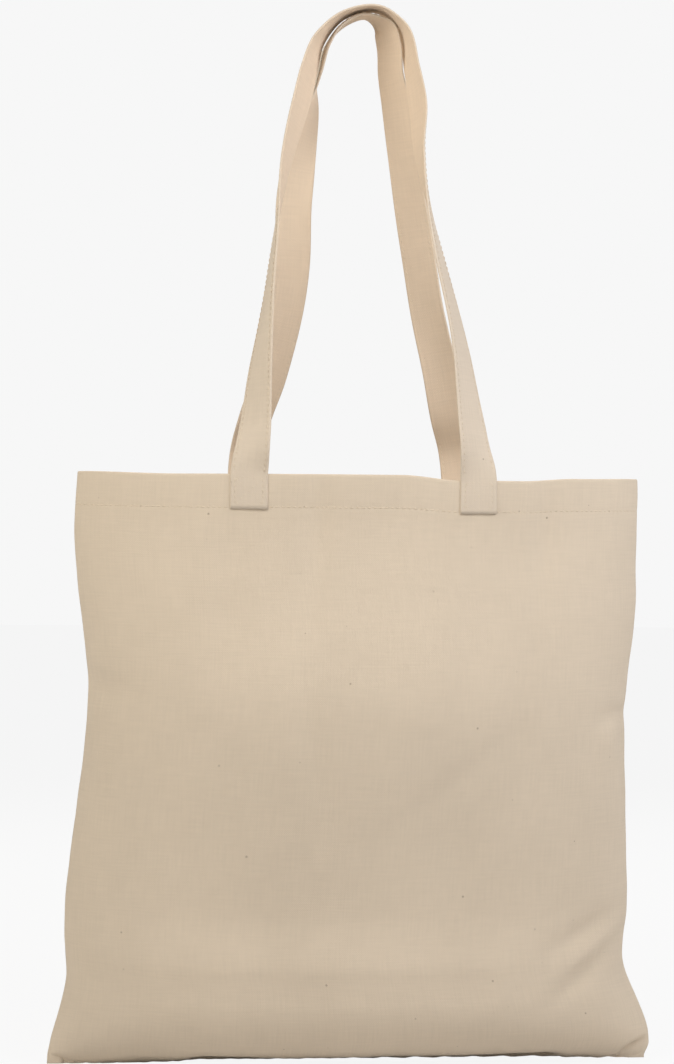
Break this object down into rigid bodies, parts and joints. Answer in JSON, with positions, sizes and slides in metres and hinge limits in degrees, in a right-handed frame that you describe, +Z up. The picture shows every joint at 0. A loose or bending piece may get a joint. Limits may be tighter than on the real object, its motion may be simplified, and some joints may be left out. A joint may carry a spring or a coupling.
{
  "type": "canvas tote bag",
  "caption": "Open-topped flat tote bag sewn from ecru cotton canvas panels, standing upright with long shoulder straps box-stitched outside the hem.",
  "frame": {"origin": "centre of the bounding box's bottom face, on the surface the bag stands on", "axes": "+Z up, +X along the mouth to the right as seen from the front, front panel towards -Y"},
  "size_m": [0.38, 0.126, 0.6603],
  "materials": {
    "canvas": "plain-woven natural cotton canvas, matte",
    "strap_cloth": "doubled canvas strip, matte",
    "sewing_thread": "spun cotton-look thread, matte",
    "overlock_thread": "overlock thread, matte"
  },
  "bodies": {
    "bag": {"front_panel": "canvas", "back_panel": "canvas", "front_hem_stitching": "sewing_thread", "back_hem_stitching": "sewing_thread", "left_seam_overlock": "overlock_thread", "right_seam_overlock": "overlock_thread", "bottom_seam_overlock": "overlock_thread", "front_left_strap_end": "strap_cloth", "front_right_strap_end": "strap_cloth", "back_left_strap_end": "strap_cloth", "back_right_strap_end": "strap_cloth", "front_left_box_stitching": "sewing_thread", "front_right_box_stitching": "sewing_thread", "back_left_box_stitching": "sewing_thread", "back_right_box_stitching": "sewing_thread"},
    "front_strap_body": {"front_strap": "strap_cloth"},
    "back_strap_body": {"back_strap": "strap_cloth"}
  },
  "joints": [
    {"name": "front_strap_swing", "type": "hinge", "parent": "bag", "child": "front_strap_body", "pos_m": [0, -0.0509, 0.3688], "axis": [1, 0, 0], "range_deg": [0, 170]},
    {"name": "back_strap_swing", "type": "hinge", "parent": "bag", "child": "back_strap_body", "pos_m": [0, 0.0509, 0.3688], "axis": [-1, 0, 0], "range_deg": [0, 170]}
  ]
}
